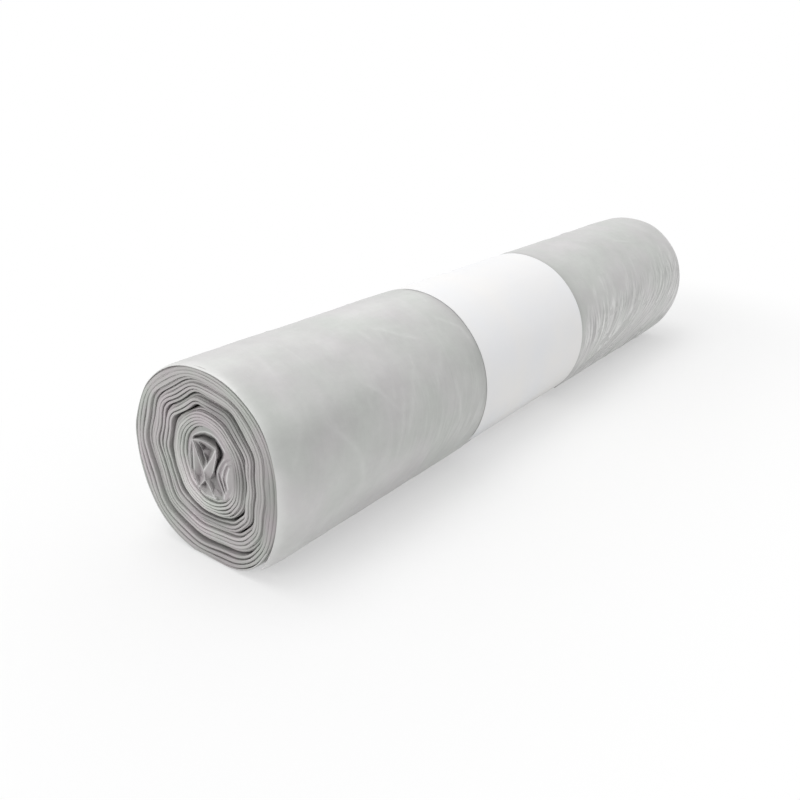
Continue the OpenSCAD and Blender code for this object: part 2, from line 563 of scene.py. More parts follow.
# Share of the air that the web sags into between a corner and the next one, by its angle
FACES = [(6, 0.85), (42, 0.8), (84, 0.3), (120, 0.5), (156, 0.8), (186, 0.7), (216, 0.3),
         (240, 0.8), (282, 0.8), (318, 0.85), (366, 0)]

# The end that shows is drawn in on one side and sags on the other, as [degrees, depth]
END_DRAWN = [(0, -0.15), (30, 0), (58, 0.4), (80, 0.35), (110, 0), (140, 0), (161, 1.6),
             (179, 2.8), (198, 3.0), (217, 1.6), (233, 0.3), (245, 0), (285, 0), (304, -1.2),
             (324, -1.0), (346, -0.3), (360, -0.15)]
END_DRAWN_L = 10
DRAWN_FROM = 9

# Wound web: a thick stack of plies and a thin one to a turn, swept by a node tree

PLY_STEP = 4

# Place of a ply, half its thickness and how far that may swell, as shares of a turn's room
THICK_PLY = [-0.1, 0.29, 0.1]
THIN_PLY = [0.385, 0.075, 0.01]
LAST_PLY = [-0.22, 0.19, 0]
LOOSEST_PITCH = 1.6
FOLD_DEPTH = 0.45
ROUNDING = np.hanning(7)[1:-1] / np.hanning(7).sum()
PATH_VALUES = ["wound", "ply", "drift", "girth", "dome", "drawn", "squeeze", "shade", "close"]
PLY_LANE, SIDE_LANE = 7.3, 31.0
DOME = 1.5
DRIFT_RAMP = 330
WRAP_TUCK = 12
COVER_RAMP = 20

# Angles from the web's outer end over which it starts to sag and to wave
SAG_RAMP = 400, 1500
WAVE = 0.13
WAVE_RAMP = 380, 900
WAVE_START = 200

# Angles from the start of a bundle over which its turns go from loose to plain
LOOSE_RAMP = 300, 420
LOOSE_THIN = 0.6
SWELL = 0.7
THIN_SET_BACK = 0.5
BUNDLE_RAMP = 30

# Both sides of the gap outside the innermost bundle, where it narrows and its painted shade is
# darkest
GAP_ANGLES = [STARTS[1] + 4, STARTS[1] + 364]
GAP_HALF = 70
GAP_SHADE = 2.0
PLAIN_SHADE = 0.5

# Painted light and shade on stretches of the web, as (bundle, degrees, half width, share)
WEB_PAINTED_SHADING = [(0, 178, 50, -0.32), (0, 310, 90, 0.27), (1, 112, 50, -0.35), (1, 270, 50, -0.28),
             (2, 190, 50, -0.12), (2, 285, 30, 0.08), (3, 184, 60, -0.33), (3, 262, 40, -0.14)]

# Stretches where the turns lie closer and the lines between them are softer, with less painted
# shade, likewise
CLOSE_TURNS = [(0, 345, 125, -0.9), (1, 270, 60, -0.4), (2, 130, 50, -0.6), (2, 270, 60, -0.5),
               (3, 55, 95, -0.9)]


def slab_section(width, thickness):
    """Closed outline of one ply across the roll, with rounded folds at both ends."""
    half, edge = width / 2, thickness / 2
    inward = [14, 4, 1.4, 0.4]
    right_top = [(half - FOLD_DEPTH - d, edge) for d in inward]
    fold = [(half - FOLD_DEPTH * (1 - math.cos(math.radians(a))),
             edge * math.sin(math.radians(a))) for a in (90, 45, 0, -45, -90)]
    right = right_top + fold + [(x, -y) for x, y in reversed(right_top)]
    return right + [(-x, -y) for x, y in right]


def line_object(name, chains, closed=False, values=None):
    """Mesh of edges through chains of points in the XY plane, in metres."""
    mesh = bpy.data.meshes.new(name)
    points, edges = [], []
    for chain in chains:
        first = len(points)
        points += [(x * MM, y * MM, 0) for x, y in chain]
        edges += [(i, i + 1) for i in range(first, len(points) - 1)]
        if closed:
            edges.append((len(points) - 1, first))
    mesh.from_pydata(points, edges, [])
    for key, numbers in (values or {}).items():
        mesh.attributes.new(key, "FLOAT", "POINT").data.foreach_set("value", numbers)
    made = bpy.data.objects.new(name, mesh)
    bpy.context.collection.objects.link(made)
    return made


def drift_at(angle):
    """Shift of the web along the roll, from bundle to bundle."""
    drift = BUNDLE_DRIFT[0]
    for here, start in zip(BUNDLE_DRIFT[1:], STARTS[1:]):
        drift += (here - drift) * ease((angle - start + DRIFT_RAMP / 2) / DRIFT_RAMP)
    return drift


def dome_at(angle):
    """How far a turn's folds lie inside those in the middle of its bundle."""
    for start, end in zip(STARTS, STARTS[1:]):
        if angle <= end:
            return DOME * abs(2 * (angle - start) / (end - start) - 1) ** 3
    return 0.0


def drawn_in(angles):
    """How far the end that shows is drawn in at angles round it."""
    every = np.arange(-360, 720)
    drawn = np.interp(every % 360, *zip(*END_DRAWN))
    window = np.hanning(23)
    drawn = np.convolve(drawn, window / window.sum(), "same")
    return np.interp(np.asarray(angles) % 360, every, drawn)


def sag_share(angle):
    """Share of the air under it that the web sags into, most between two corners."""
    turn = (angle - FACES[0][0]) % 360 + FACES[0][0]
    for (first, share), (second, _) in zip(FACES, FACES[1:]):
        if turn <= second:
            return share * math.sin(math.pi * (turn - first) / (second - first)) ** 0.7
    return 0.0


def settled_radii(angles):
    """Radii of the web, sagged, with its corners rounded and its turns a little wavy."""
    even = np.array([web_r(a) for a in angles])
    radii, turn = even.copy(), 360 // PLY_STEP
    hold = np.array([sag_share(a) for a in angles]) * soft_step(WEB_END - angles, *SAG_RAMP)
    for k in range(turn, len(radii)):
        radii[k] -= hold[k] * max(0.0, even[k] - radii[k - turn] - PITCH)
    reach = len(ROUNDING) // 2
    radii = np.convolve(np.pad(radii, reach, "edge"), ROUNDING, "valid")
    wave = soft_noise((angles % 360) / 22.5, angles / 800, 3)
    calm = soft_step(WEB_END - angles, *WAVE_RAMP) * soft_step(angles, 0, WAVE_START)
    return radii + WAVE * wave * calm


def stored(body, name, value, kind="FLOAT"):
    """Geometry whose points keep a value."""
    return put(body.tree, "GeometryNodeStoreNamedAttribute",
               {"Geometry": body, "Name": name, "Value": value},
               data_type=kind, domain="POINT")[0]


def winding_tree():
    """Tree that sweeps the section of a ply along the web and shapes the ends of the turns."""
    tree = bpy.data.node_groups.new("wind the web", "GeometryNodeTree")
    named_inputs(tree, [
        ("Geometry", "NodeSocketGeometry", None),
        ("Ply Section", "NodeSocketObject", None),
        ("Web Width", "NodeSocketFloat", 0.3),
        ("Raggedness", "NodeSocketFloat", 0.0006),
        ("Ripple", "NodeSocketFloat", 0.0001),
        ("Drawn Length", "NodeSocketFloat", 0.01),
        ("Fold Depth", "NodeSocketFloat", 0.0005),
        ("Centre", "NodeSocketVector", (0, 0, 0)),
        ("Finish", "NodeSocketMaterial", None),
    ])
    tree.interface.new_socket("Geometry", in_out="OUTPUT", socket_type="NodeSocketGeometry")
    given = put(tree, "NodeGroupInput")
    spot = put(tree, "GeometryNodeInputPosition")[0]
    path = put(tree, "GeometryNodeMeshToCurve", {"Mesh": given["Geometry"]})[0]
    up = put(tree, "GeometryNodeSetCurveNormal", {"Curve": path}, mode="Z_UP")[0]
    shape = put(tree, "GeometryNodeObjectInfo", {"Object": given["Ply Section"]})["Geometry"]
    section = put(tree, "GeometryNodeMeshToCurve", {"Mesh": shape})[0]
    swept = put(tree, "GeometryNodeCurveToMesh", {
        "Curve": stored(up, "spine", spot, "FLOAT_VECTOR"), "Profile Curve": section,
        "Fill Caps": True})[0]

    def carried(name, kind="FLOAT"):
        return put(tree, "GeometryNodeInputNamedAttribute", {"Name": name}, data_type=kind)[0]

    wound, ply, drift, girth, dome, drawn, squeeze, shade, close = map(carried, PATH_VALUES)
    middle_y, middle_z, _ = parts(carried("spine", "FLOAT_VECTOR"))
    spot_y, spot_z, spot_x = parts(spot)
    half_width = given["Web Width"] * 0.5
    reach = spot_x / half_width
    side = reach.calc("SIGN")
    inside = half_width * (1.0 - abs(reach))
    fading = (1.0 - inside / given["Drawn Length"]).calc("MAXIMUM", 0.0) ** 2.0
    at_end = fading * reach.calc("LESS_THAN", 0.0)
    lane = ply * PLY_LANE + side * SIDE_LANE

    def wander(scale, lane_scale):
        """Noise along the web that differs from ply to ply, from -1 to 1."""
        return (noise(joined(tree, wound * scale, lane * lane_scale), 1.0) - 0.5) * 2.0

    uneven = abs(wander(1.7, 1.0) + wander(9.0, 2.0) * 0.5)
    in_set = dome + uneven * given["Raggedness"]
    flatness = spread(noise(spot, 150.0), 0.4, 0.6, 0.5, 0.95).calc("MAXIMUM", close)
    unfolded = side * (inside.calc("MINIMUM", given["Fold Depth"]) * flatness)
    along = spot_x + unfolded - reach * in_set
    sway = wander(14.0, 3.0) * abs(reach) ** 12.0 * given["Ripple"]
    distance = (spot_y * spot_y + spot_z * spot_z).calc("SQRT")
    grow = 1.0 + (sway - drawn * at_end) / distance
    own_girth = girth * (1.0 - squeeze * at_end)

    def across(now, middle):
        """Coordinate in the section, with the ply's own thickness and sway."""
        return (middle + (now - middle) * own_girth) * grow

    turned = joined(tree, along + drift, across(spot_y, middle_y), across(spot_z, middle_z))
    home = put(tree, "ShaderNodeVectorMath", {0: turned, 1: given["Centre"]}, operation="ADD")[0]
    # Depth from the plies' edges, scaled by the strength of the painted shade, kept for the ply
    # finish
    marked = stored(stored(swept, "inside", inside * shade), "pressed", flatness)
    moved = put(tree, "GeometryNodeSetPosition", {"Geometry": marked, "Position": home})[0]
    bare = put(tree, "GeometryNodeRemoveAttribute", {"Geometry": moved, "Name": "spine"})[0]
    smooth = put(tree, "GeometryNodeSetShadeSmooth", {"Geometry": bare})[0]
    real = put(tree, "GeometryNodeRealizeInstances", {"Geometry": smooth})[0]
    dressed = put(tree, "GeometryNodeSetMaterial", {
        "Geometry": real, "Material": given["Finish"]})[0]
    put(tree, "NodeGroupOutput", {"Geometry": dressed})
    return tree


def grown(carrier, tree, values):
    """Plain mesh of what the tree makes of the carrier, whose modifier is then removed."""
    modifier = carrier.modifiers.new(tree.name, "NODES")
    modifier.node_group = tree
    for item in tree.interface.items_tree:
        if item.in_out == "INPUT" and item.name in values:
            modifier[item.identifier] = values[item.name]
    seen = carrier.evaluated_get(bpy.context.evaluated_depsgraph_get())
    mesh = bpy.data.meshes.new_from_object(seen)
    carrier.modifiers.clear()
    return mesh


def varied(angles, stretches):
    """Share along the web, 1 apart from the stretches of some bundles."""
    made = np.ones(len(angles))
    for bundle, middle, half, share in stretches:
        first, last = STARTS[bundle:bundle + 2]
        held = (soft_step(angles, first - BUNDLE_RAMP, first + BUNDLE_RAMP)
                * soft_step(-angles, -last - BUNDLE_RAMP, BUNDLE_RAMP - last))
        off = np.abs((angles - middle + 180) % 360 - 180)
        made += share * held * soft_step(1 - off / half, 0, 1)
    return made


def turn_room(radii):
    """Room that each turn has between the turns inside and outside it."""
    turn = 360 // PLY_STEP
    room = np.full(len(radii), float(LOOSEST_PITCH))
    between = radii[turn:] - radii[:-turn]
    room[:-turn] = np.minimum(room[:-turn], between)
    room[turn:] = np.minimum(room[turn:], between)
    return room


def web_plies():
    """Lines that the two plies follow, and the values that their points carry."""
    every = np.arange(0, WEB_END + 0.01, PLY_STEP)
    radii = settled_radii(every)
    room = turn_room(radii)
    apart = np.max([1 - soft_step(np.abs(every - s), *LOOSE_RAMP) for s in STARTS[1:-1]], axis=0)
    loose = varied(every, CLOSE_TURNS)
    swell = np.clip(1 + SWELL * soft_noise((every % 360) / 35, every / 500, 4), 0, 1)
    swell *= 1 - LOOSE_THIN * apart
    swell += (1 - swell) * (1 - loose)
    gap = np.array([max(bump_at(a, g, GAP_HALF) for g in GAP_ANGLES) for a in every])
    dome = np.array([dome_at(a) for a in every])
    drift = np.array([drift_at(a) for a in every]) - max(BUNDLE_DRIFT) / 2
    drawn = drawn_in(every)
    outward = np.clip((radii - DRAWN_FROM) / (OUTER_R - DRAWN_FROM), 0, 1)
    covered = soft_step(every, LAST_TURN - WRAP_TUCK - COVER_RAMP, LAST_TURN - WRAP_TUCK)
    chains, values = [], {}
    for index, ply in enumerate((THICK_PLY, THIN_PLY)):
        count = int((LAST_TURN - WRAP_TUCK if index else WEB_END) / PLY_STEP) + 1
        out, half, spare = (a + (b - a) * covered for a, b in zip(ply, LAST_PLY))
        chains.append([place(radii[i] + out[i] * room[i], every[i]) for i in range(count)])
        carried = {
            "wound": every / 360,
            "ply": np.full(len(every), float(index)),
            "drift": drift * MM,
            "girth": (half + spare * swell) * room,
            "dome": (dome + THIN_SET_BACK * index * loose) * MM,
            "drawn": drawn * outward**2 * (3 - 2 * outward) * MM,
            "squeeze": drawn * 6 * outward * (1 - outward) / (OUTER_R - DRAWN_FROM),
            # Strength of the painted shade between the plies
            "shade": loose * (PLAIN_SHADE + apart) + GAP_SHADE * gap,
            "close": 1 - loose,
            # Painted light and shade by place round the end
            "painted_shading": varied(every, WEB_PAINTED_SHADING),
        }
        for key, numbers in carried.items():
            values.setdefault(key, []).extend(numbers[:count])
    return chains, values


def wound_web():
    """The whole web, apart from the outermost ply of its last turn."""
    chains, values = web_plies()
    path = line_object("web path", chains, values=values)
    section = line_object("ply section", [[(y, x) for x, y in slab_section(WEB_W, 2)]],
                          closed=True)
    mesh = grown(path, winding_tree(), {
        "Ply Section": section,
        "Web Width": WEB_W * MM,
        "Raggedness": 0.6 * MM,
        "Ripple": 0.05 * MM,
        "Drawn Length": END_DRAWN_L * MM,
        "Fold Depth": FOLD_DEPTH * MM,
        "Centre": (MID_X * MM, SHIFT_Y * MM, SHIFT_Z * MM),
        "Finish": plies,
    })
    for helper in (path, section):
        bpy.data.objects.remove(helper)
    mesh.name = "wound_web"
    piece = new_piece("wound_web", mesh, None)
    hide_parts("bag_roll")


# Outermost ply of the last turn, with the film's creases, its waist and its free tail

WRAP_T = 0.22
HELD_THIN = 0.6
PAPER_AIR = 0.06
ROW, WAIST_ROW, EDGE_ROWS = 0.8, 6, [0.25, 0.6, 1.1, 1.8]
FINE_STEP, COARSE_STEP, FINE_FROM, FINE_TO = 1, 3, 50, 245
WAIST_ROWS = [-1.2, -0.9, -0.65, -0.45, -0.3, -0.15, 0.0, 0.4]
INNER_STEP = 14
UNDER_HALF = 34
LIP_DROP = 0.35
LIP_L = 2.2
# Painted highlight along the film's rim where it folds over the ends: its strength and length
RIM_HIGHLIGHT = 0.45
RIM_L = 2.2

# How far the folds rise over the height given for each, and the height whose painted highlight is
# whitest
FOLD_RISE = 1.8
WHITEST_RISE = 0.34
SMALL_FOLDS = 260

# Creases raised in the relief, with a painted highlight where they catch the light, as [[along
# the roll, degrees round it], ...], width, height
CREASES = [
    ([[190, 158], [189, 172], [188, 190]], 0.7, 0.2),
    ([[195, 150], [194, 175], [190, 196]], 0.6, 0.16),
    ([[202, 156], [199, 180], [193, 200]], 0.7, 0.22),
    ([[207, 160], [204, 181], [196, 201]], 0.6, 0.18),
    ([[216, 154], [211, 170], [200, 194]], 0.8, 0.24),
    ([[226, 160], [218, 176], [204, 199]], 0.6, 0.18),
    ([[241, 160], [237, 175], [222, 186], [204, 200], [187, 208]], 0.9, 0.34),
    ([[258, 160], [247, 177], [231, 191], [218, 204], [200, 214]], 0.9, 0.32),
    ([[251, 163], [240, 181], [224, 197]], 0.6, 0.2),
    ([[268, 158], [258, 176], [242, 195]], 0.7, 0.2),
    ([[281, 160], [268, 182], [258, 202]], 0.8, 0.26),
    ([[292, 158], [284, 177], [275, 198]], 0.8, 0.28),
    ([[296, 168], [291, 190], [284, 206]], 0.7, 0.22),
    ([[244, 116], [258, 124]], 0.6, 0.1),
    ([[56, 152], [52, 168], [47, 192]], 0.7, 0.14),
    ([[63, 148], [57, 166], [53, 180]], 0.6, 0.1),
    ([[82, 160], [83, 174], [84, 190]], 0.7, 0.14),
    ([[97, 182], [94, 198], [89, 212]], 0.7, 0.16),
    ([[60, 112], [69, 125], [76, 132]], 0.6, 0.1),
    ([[40, 140], [46, 150], [52, 166]], 0.7, 0.1),
    ([[88, 120], [97, 134], [99, 150]], 0.7, 0.1),
    ([[20, 150], [30, 172], [33, 196]], 1.1, 0.1),
]

# Sweep of the folds from the top of the round side to its foot, by place along the roll
FOLD_SWEEP = [(0, 10), (110, 6), (190, 2), (200, 8), (220, 20), (240, 32), (250, 36), (258, 38),
              (268, 36), (281, 26), (292, 20), (299, 12)]
SWEEP_FROM, SWEEP_TO = 155, 205


def fold_field(x, angles):
    """Field whose contours the fine folds follow, the way round, and how many they are."""
    top = np.linspace(-20, 330, 700)
    sweep = np.interp(top, *zip(*FOLD_SWEEP))
    bent = np.clip((angles[0] - SWEEP_FROM) / (SWEEP_TO - SWEEP_FROM), 0, 1.2) ** 2
    along = x - roll_low.x
    contour = np.stack([np.interp(along[:, j], top - sweep * b, top)
                        for j, b in enumerate(bent)], axis=1)
    beyond = soft_step(along, band_high.x - roll_low.x, band_high.x - roll_low.x + 8)
    low = soft_step(angles + 0.12 * (along - 240), 150, 170) * (1 - soft_step(angles, 222, 245))
    near = 0.14 * soft_step(along, 30, 80) * soft_step(angles, 148, 170) * (
        1 - soft_step(angles, 205, 225))
    patches = 0.65 + 0.5 * soft_noise(along / 17, angles / 14, 12)
    many = np.maximum(beyond * low, near * (1 - beyond)) * patches + 0.02
    return np.stack([contour * MM, np.radians(angles) * OUTER_R * MM, many], axis=-1)


def large_folds():
    """The creases above, as lines over the film in millimetres."""
    return [([(roll_low.x + u, math.radians(v) * OUTER_R) for u, v in line], width, rise)
            for line, width, rise in CREASES]


def small_folds():
    """Short random folds on both sides of the band, as lines likewise."""
    draw = np.random.RandomState(11)
    for _ in range(SMALL_FOLDS):
        at_x = draw.uniform(roll_low.x + 6, roll_high.x - 6)
        if band_low.x - 3 < at_x < band_high.x + 3:
            continue
        beyond = at_x > band_high.x
        at = draw.choice([draw.uniform(140 if beyond else 95, 225), draw.uniform(-95, 80)])
        lean = draw.uniform(0.2, 1.2) if beyond else draw.uniform(-0.3, 1.5)
        length = draw.uniform(5, 18)
        line = [(at_x + lean * t * length * 0.5,
                 math.radians(at) * OUTER_R - t * length) for t in (-0.5, -0.1, 0.4)]
        width = draw.uniform(0.5, 0.9)
        rise = draw.uniform(0.06, 0.2) if beyond else draw.uniform(0.02, 0.09)
        yield line, width, rise


def film_relief(x, angles):
    """Height of the film's folds, and the painted highlight on its creases, round and along the
    roll.
    """
    s = np.radians(angles) * OUTER_R
    far = soft_step(x, band_high.x, band_high.x + 20)
    lower = soft_step(angles, 130, 165) * (1 - soft_step(angles, 215, 250))
    height = (0.22 * soft_noise(x / 48 + s / 90, s / 24, 1)
              + 0.13 * soft_noise(x / 19 + s / 30, s / 13, 2)
              + (0.05 + 0.07 * far * lower) * soft_noise(x / 5 + s / 9, s / 15 - x / 30, 6))
    painted_highlight = np.zeros_like(height)
    for line, width, rise in [*large_folds(), *small_folds()]:
        away, share = from_line(x, s, line)
        ridge = (4 * share * (1 - share)) ** 0.6 * np.exp(-(away / width) ** 1.4)
        height += FOLD_RISE * rise * ridge
        painted_highlight = np.maximum(painted_highlight, ridge * rise / WHITEST_RISE)
    return height, painted_highlight


# Bands of painted light and shade along the film, as (degrees, half width, share near the end
# that shows, share beyond the band), and how much painted shadow darkens it beside the paper
PAINTED_LIGHT_BANDS = [(98, 24, 0.13, 0.04), (154, 18, -0.12, -0.05), (190, 26, 0.09, 0.1),
         (232, 22, 0.22, 0.2)]
BAND_EDGE_SHADOW = [(2.5, -0.12), (11, -0.05)]


def film_painted_shading(x, angles):
    """Share of painted light and shade on the film by its place round and along the roll, with
    painted shadow beside the paper.
    """
    beyond = soft_step(x, band_low.x, band_high.x)
    uneven = 0.9 + 0.45 * soft_noise(x / 26, angles / 21 + x / 60, 14)
    painted_shading = np.ones_like(x)
    for middle, half, near, far in PAINTED_LIGHT_BANDS:
        band = soft_step(1 - np.abs(angles - middle) / half, 0, 1)
        painted_shading += band * (near + (far - near) * beyond) * uneven
    from_band = np.minimum(np.abs(x - band_low.x), np.abs(x - band_high.x))
    for width, share in BAND_EDGE_SHADOW:
        painted_shading += share * np.exp(-(from_band / width) ** 2)
    return painted_shading


def wrap_rows():
    """Places of the points along the roll, closest at its ends and at the waist's walls."""
    ends = [roll_low.x + WRAP_T / 2 + d for d in [0] + EDGE_ROWS]
    far_ends = [roll_high.x - WRAP_T / 2 - d for d in [0] + EDGE_ROWS][::-1]
    waist = [band_low.x + d for d in WAIST_ROWS]
    far_waist = [band_high.x - d for d in WAIST_ROWS][::-1]
    return np.concatenate([
        ends, np.arange(ends[-1] + ROW, waist[0], ROW), waist,
        np.arange(waist[-1] + WAIST_ROW, far_waist[0], WAIST_ROW), far_waist,
        np.arange(far_waist[-1] + ROW, far_ends[0], ROW), far_ends,
    ])


def wrap_angles():
    """Angles of the points round the roll, closest where its folds show."""
    angles, angle = [], LAST_TURN - WRAP_TUCK
    while angle < WEB_END:
        angles.append(angle)
        angle += FINE_STEP if FINE_FROM < angle % 360 < FINE_TO else COARSE_STEP
    return np.array(angles + [WEB_END])


def held_by_band(x):
    """1 where the paper holds the film down, 0 beside it."""
    return (soft_step(x, band_low.x - 1.0, band_low.x - 0.1)
            * (1 - soft_step(x, band_high.x + 0.1, band_high.x + 1.0)))


def wrap_radii(x, seen_angle, angles, relief, from_end):
    """Radii of the film's outside, with its folds, lips, free tail and waist."""
    s = np.radians(seen_angle) * OUTER_R
    skin_radius = np.array([web_r(a, SKIN) for a in angles])
    under = np.array([bump_at(a % 360, 270, UNDER_HALF) for a in angles])
    relief = (relief * (1 - under) - np.abs(relief) * under) * soft_step(from_end, -4, 8)
    lip = LIP_DROP * (1 - np.clip(from_end / LIP_L, 0, 1)) ** 2.2
    lip_wave = 0.3 * (1 - soft_step(from_end, 0, 9)) * soft_noise(s / 13, x / 90, 5)
    lift = np.array([TAIL_LIFT * ease(1 - (WEB_END - a) / TAIL_RAMP) for a in angles])
    drawn = drawn_in(seen_angle) * np.clip(1 - (x - x[0]) / END_DRAWN_L, 0, 1) ** 2
    free = skin_radius + relief + lift - lip + np.minimum(lip_wave, 0.15) - drawn
    held = held_by_band(x)
    return free * (1 - held) + (skin_radius - PAPER_T - PAPER_AIR) * held


def outer_wrap():
    """Outermost ply of the last turn, folded over at both ends and closed on its inside."""
    rows, angles = wrap_rows(), wrap_angles()
    base = 360 * math.floor(WEB_END / 360)
    x, round_angle = np.meshgrid(rows, angles - base, indexing="ij")
    seen_angle = np.where(round_angle < -100, round_angle + 360, round_angle)
    from_end = np.minimum(x - rows[0], rows[-1] - x)
    relief, painted_highlight = film_relief(x, seen_angle)
    outer = wrap_radii(x, seen_angle, angles, relief, from_end)
    held = held_by_band(x)
    thick = WRAP_T * (1 - HELD_THIN * held)
    # Painted highlight along the rim, joined with that of the creases
    painted_highlight = np.maximum(painted_highlight, RIM_HIGHLIGHT * np.exp(-(from_end / RIM_L) ** 1.5))

    end_wave = 0.5 * np.abs(soft_noise(np.radians(seen_angle) * OUTER_R / 19, x / 150, 9))
    x = x + end_wave * np.sign(MID_X - x) * (1 - soft_step(from_end, 0, 7))
    inner = list(range(len(rows) - 2, 0, -INNER_STEP))
    fold = outer[[-1, -1, 0, 0]] - np.array([0.5, 1, 1, 0.5])[:, None] * WRAP_T
    fold_x = x[[-1, -1, 0, 0]] + np.array([0.5, 0, 0, -0.5])[:, None] * WRAP_T
    all_x = np.concatenate([x, fold_x[:2], x[inner], fold_x[2:]])
    all_r = np.concatenate([outer, fold[:2], (outer - thick)[inner], fold[2:]])
    hidden = (4 + len(inner), len(angles))
    # Painted highlight and painted light and shade go on the film's outside only
    marks = {
        "painted_highlight": np.concatenate([painted_highlight * (1 - held), np.zeros(hidden)]),
        "painted_shading": np.concatenate([film_painted_shading(x, seen_angle), np.ones(hidden)]),
        "folds": np.concatenate([fold_field(x, seen_angle), np.zeros((*hidden, 3))]),
    }
    mesh = slab_mesh("outer_wrap", around(all_x, all_r, angles[None, :]).swapaxes(0, 1),
                     {key: values.swapaxes(0, 1) for key, values in marks.items()})
    mesh.flip_normals()
    piece = new_piece("outer_wrap", mesh, film)
    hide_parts("bag_roll")


# Start of the web, crumpled in the hollow: ridges that run inwards at a slant, with the
# place across and above the roll's middle and the depth of each point

LEAN = (1.32, -0.84)
RIDGES = [
    [(4.3, 8.2, 0.8), (2.5, 3.2, 1.4), (0.7, -0.7, 1.8), (0.4, -3.6, 1.9), (-1.1, -5.2, 1.7),
     (-2.8, -7.8, 1.3), (-3.6, -8.7, 0.9)],
    [(0.4, -3.6, 1.9), (2.9, -6.3, 1.7), (3.7, -6.9, 1.2)],
    [(3.7, -6.9, 1.2), (0.6, -8.7, 1.0), (-3.6, -8.7, 0.9)],
    [(4.3, 8.2, 0.8), (0.8, 9.0, 1.2), (-3.0, 8.8, 1.6), (-5.7, 7.9, 1.8)],
    [(-5.7, 7.9, 1.8), (-5.6, 5.6, 1.9), (-4.6, 2.7, 2.1), (-3.5, -0.2, 2.5)],
    [(-5.7, 7.9, 1.8), (-3.4, 4.2, 2.2), (-1.2, 1.6, 2.2), (0.7, -0.7, 1.8)],
    [(1.7, 8.2, 1.6), (-0.1, 6.0, 2.8), (-1.2, 3.1, 3.0), (-1.2, 1.6, 2.2)],
    [(-8.8, 5.6, 1.9), (-6.5, 2.6, 1.9), (-5.6, 0.6, 1.9), (-5.8, -1.6, 1.8), (-6.9, -3.9, 1.7),
     (-7.6, -6.0, 1.5), (-7.3, -7.4, 1.2)],
    [(-9.7, 4.4, 1.7), (-8.2, 1.9, 1.7), (-7.3, -0.3, 1.7), (-7.9, -3.0, 1.6), (-8.5, -5.2, 1.4)],
    [(-10.7, 3.4, 1.6), (-9.6, 1.0, 1.6), (-9.0, -1.2, 1.5), (-9.4, -3.5, 1.4)],
    [(3.9, 9.2, 1.3), (3.0, 10.1, 1.5), (0.7, 11.4, 1.6), (-2.0, 12.3, 1.6), (-4.5, 12.3, 1.6),
     (-6.7, 11.5, 1.6), (-8.2, 10.0, 1.7), (-9.6, 8.2, 1.8)],
    [(5.0, 7.6, 1.5), (6.0, 4.2, 1.6), (6.3, 0.6, 1.7), (6.3, -2.6, 1.6), (5.9, -4.6, 1.5),
     (4.9, -6.4, 1.4)],
    [(4.4, 5.6, 1.8), (4.7, 1.7, 1.9), (5.1, -1.8, 1.8), (4.9, -4.0, 1.6), (4.2, -5.6, 1.4)],
]
VALLEYS = [
    [(-0.8, 7.8, 4.0), (-3.8, 7.3, 4.4), (-1.8, 3.7, 4.0)],
    [(0.9, 6.9, 3.6), (-0.2, 3.2, 3.4)],
    [(2.8, 9.5, 2.6), (-1.3, 11.3, 4.4), (-5.9, 11.3, 5.0), (-7.6, 9.2, 5.4), (-8.4, 7.2, 5.8),
     (-6.5, 4.4, 5.4), (-4.9, 1.6, 5.0), (-4.6, -1.0, 4.6), (-5.5, -3.6, 4.0), (-6.7, -5.8, 3.2),
     (-6.6, -7.0, 2.2)],
    [(0.3, -4.9, 3.4), (0.1, -5.8, 2.8)],
    [(3.0, 3.8, 2.2), (2.3, 0.9, 2.8), (2.1, -2.6, 3.4), (3.1, -3.5, 3.0)],
    [(-1.9, -2.8, 3.2), (-3.3, -4.5, 3.2)],
    [(5.1, 5.4, 2.6), (5.5, 1.4, 2.7), (5.7, -2.2, 2.5), (5.4, -4.2, 2.1)],
    [(2.2, -8.4, 1.9), (0.5, -9.2, 2.0), (-3.4, -9.2, 2.1), (-5.8, -8.4, 2.0)],
    [(-9.2, 5.0, 2.5), (-7.4, 2.3, 2.5), (-6.4, 0.1, 2.5), (-6.9, -2.5, 2.4), (-7.7, -4.6, 2.1)],
    [(-10.2, 3.9, 2.3), (-8.9, 1.5, 2.3), (-8.1, -0.8, 2.3), (-8.6, -3.2, 2.1)],
]
WALL_DEPTHS = [(0, 1.5), (48, 1.5), (90, 1.8), (140, 2.0), (160, 1.8), (215, 1.7), (240, 1.2),
               (255, 1.0), (300, 1.0), (325, 1.4), (360, 1.5)]
SHEET_T = 0.35
RIDGE_WIDTH = 0.22
FACET_ANGLE = 38


def crumple_points():
    """Points of the ridges, the valleys and the wall round them, and the edges between."""
    points, edges = [], []
    for line in RIDGES + VALLEYS:
        points += [p for p in line if p not in points]
        edges += [(points.index(p), points.index(q)) for p, q in zip(line, line[1:])]
    first = len(points)
    for a in range(5, 360, 10):
        y, z = place(web_r(a), a)
        deep = float(np.interp(a, *zip(*WALL_DEPTHS)))
        y, z = y + SHIFT_Y, z + SHIFT_Z - roll_high.z / 2
        points.append((y - LEAN[0] * deep, z - LEAN[1] * deep, deep))
    ring = list(range(first, len(points)))
    edges += list(zip(ring, ring[1:] + ring[:1]))
    return points, edges


